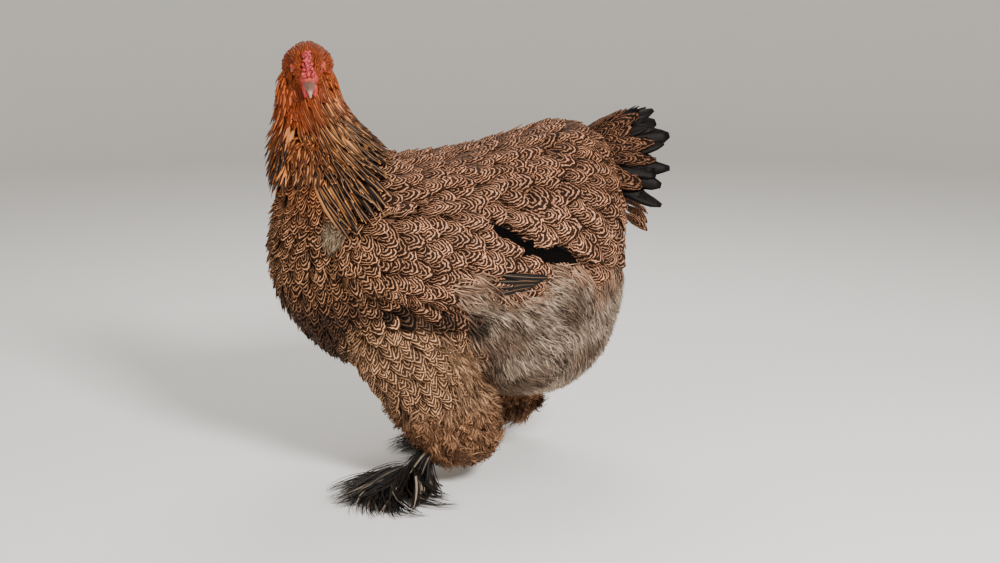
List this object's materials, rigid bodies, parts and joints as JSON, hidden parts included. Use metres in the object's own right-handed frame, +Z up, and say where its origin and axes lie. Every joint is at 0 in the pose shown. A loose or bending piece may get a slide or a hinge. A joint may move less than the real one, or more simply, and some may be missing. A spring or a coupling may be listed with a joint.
{
  "type": "brahma chicken",
  "caption": "Life-size still model of a standing partridge hen with feathered feet, full fluff, a short tail and her head turned to the left.",
  "frame": {"origin": "on the floor, under the middle of the hen's outline", "axes": "+Z up, -Y the way her body faces, +X to her left"},
  "size_m": [0.3038, 0.4696, 0.5016],
  "materials": {
    "head_feathers": "short dense rust-orange feathers over bare red skin",
    "hackle": "long golden-orange feathers with black centre stripes",
    "pencilled_feathers": "rounded feathers, tan with fine concentric dark brown lines",
    "hock_feathers": "soft curled reddish-brown feathers with dark lines",
    "fluff": "loose grey-brown down",
    "black_feathers": "glossy black vanes with a faint green sheen",
    "red_skin": "warm red beaded skin, slightly moist",
    "horn": "smooth horn, dark along the ridge and paler at the edges",
    "eye": "wet orange iris round a black pupil",
    "shank_skin": "dull yellow scaled skin"
  },
  "bodies": {
    "root": {"breast": "pencilled_feathers", "cushion": "pencilled_feathers", "abdomen": "fluff", "head": "head_feathers", "comb": "red_skin", "eye_right": "eye", "eye_left": "eye", "bill_upper": "horn", "bill_lower": "horn", "wattle_right": "red_skin", "wattle_left": "red_skin", "neck": "hackle", "wing_left": "pencilled_feathers", "wing_right": "pencilled_feathers", "tail": "black_feathers", "thigh_left": "pencilled_feathers", "hock_left": "hock_feathers", "shank_left": "black_feathers", "foot_left": "black_feathers", "claw_left_1": "horn", "claw_left_2": "horn", "claw_left_3": "horn", "claw_left_4": "horn", "thigh_right": "pencilled_feathers", "hock_right": "hock_feathers", "shank_right": "black_feathers", "foot_right": "black_feathers", "claw_right_1": "horn", "claw_right_2": "horn", "claw_right_3": "horn", "claw_right_4": "horn"}
  },
  "joints": []
}
